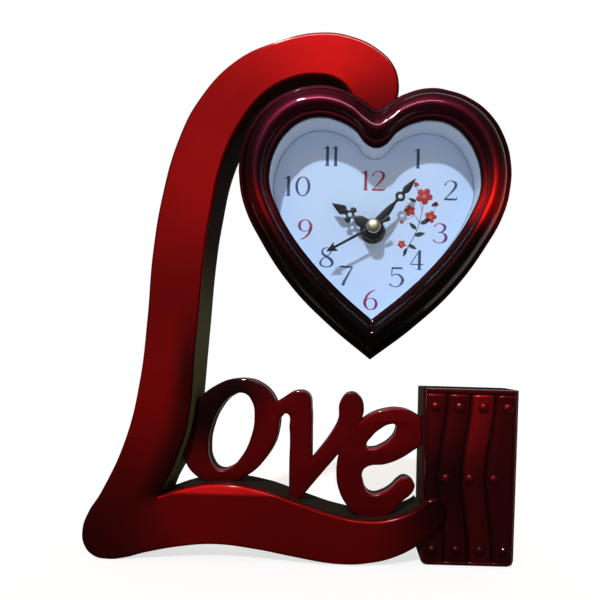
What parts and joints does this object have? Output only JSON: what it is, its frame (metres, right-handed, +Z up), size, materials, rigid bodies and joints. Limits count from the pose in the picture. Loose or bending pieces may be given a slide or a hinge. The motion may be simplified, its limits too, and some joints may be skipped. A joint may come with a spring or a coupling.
{
  "type": "pen holder clock",
  "caption": "Curled L-shaped desk stand with openwork letters, a heart-shaped quartz clock hung from the curl and a square pen cup at the foot's tip.",
  "frame": {"origin": "on the ground, under the middle of the object's width and depth", "axes": "+Z up, +X to the viewer's right, and the dial faces -Y"},
  "size_m": [0.2228, 0.0426, 0.2723],
  "materials": {
    "stand_red": "glossy cherry red lacquer over moulded plastic",
    "dark_cherry": "glossy dark cherry lacquer over moulded plastic",
    "clear": "clear polished",
    "pale_grey": "satin moulded plastic",
    "dial_white": "satin printed card",
    "black_plastic": "satin moulded plastic",
    "battery_wrap": "satin printed wrap",
    "steel": "bright plated",
    "brass": "polished",
    "black_paint": "satin black paint",
    "white_plastic": "satin moulded plastic"
  },
  "bodies": {
    "clock_body": {"stand_shell": "stand_red", "stand_back_cover": "dark_cherry", "openwork_letters": "dark_cherry", "pen_cup": "dark_cherry", "cup_front_panel": "dark_cherry", "heart_bezel": "dark_cherry", "clock_lens": "clear", "dial_pan": "pale_grey", "dial_card": "dial_white", "clock_case_back": "black_plastic", "movement_case": "black_plastic", "movement_cover": "black_plastic", "battery": "battery_wrap", "contact_negative": "steel", "contact_positive": "steel", "dial_washer": "brass", "dial_nut": "brass", "cover_screw_1": "steel", "cover_screw_2": "steel", "cover_screw_3": "steel", "cover_screw_4": "steel", "cover_screw_5": "steel", "cover_screw_6": "steel", "case_screw_1": "steel", "case_screw_2": "steel", "case_screw_3": "steel", "case_screw_4": "steel"},
    "second_hand_set": {"second_hand": "black_paint", "hand_cap": "brass", "second_wheel": "steel"},
    "minute_hand_set": {"minute_hand": "black_paint", "centre_wheel": "white_plastic"},
    "hour_hand_set": {"hour_hand": "black_paint", "hour_wheel": "white_plastic"},
    "setting_arbor": {"setting_knob": "white_plastic"}
  },
  "joints": [
    {"name": "minute_hand_turn", "type": "hinge", "parent": "clock_body", "child": "minute_hand_set", "pos_m": [0.0332, 0, 0.174], "axis": [0, 1, 0], "continuous": true},
    {"name": "hour_hand_turn", "type": "hinge", "parent": "clock_body", "child": "hour_hand_set", "pos_m": [0.0332, 0, 0.174], "axis": [0, 1, 0], "continuous": true},
    {"name": "second_hand_turn", "type": "hinge", "parent": "clock_body", "child": "second_hand_set", "pos_m": [0.0332, 0, 0.174], "axis": [0, 1, 0], "continuous": true},
    {"name": "setting_knob_turn", "type": "hinge", "parent": "clock_body", "child": "setting_arbor", "pos_m": [0.0332, 0, 0.1644], "axis": [0, 1, 0], "continuous": true}
  ],
  "couplings": [
    {"joint": "hour_hand_turn", "follows": "minute_hand_turn", "ratio": 0.083333},
    {"joint": "setting_knob_turn", "follows": "minute_hand_turn", "ratio": -0.33333}
  ]
}
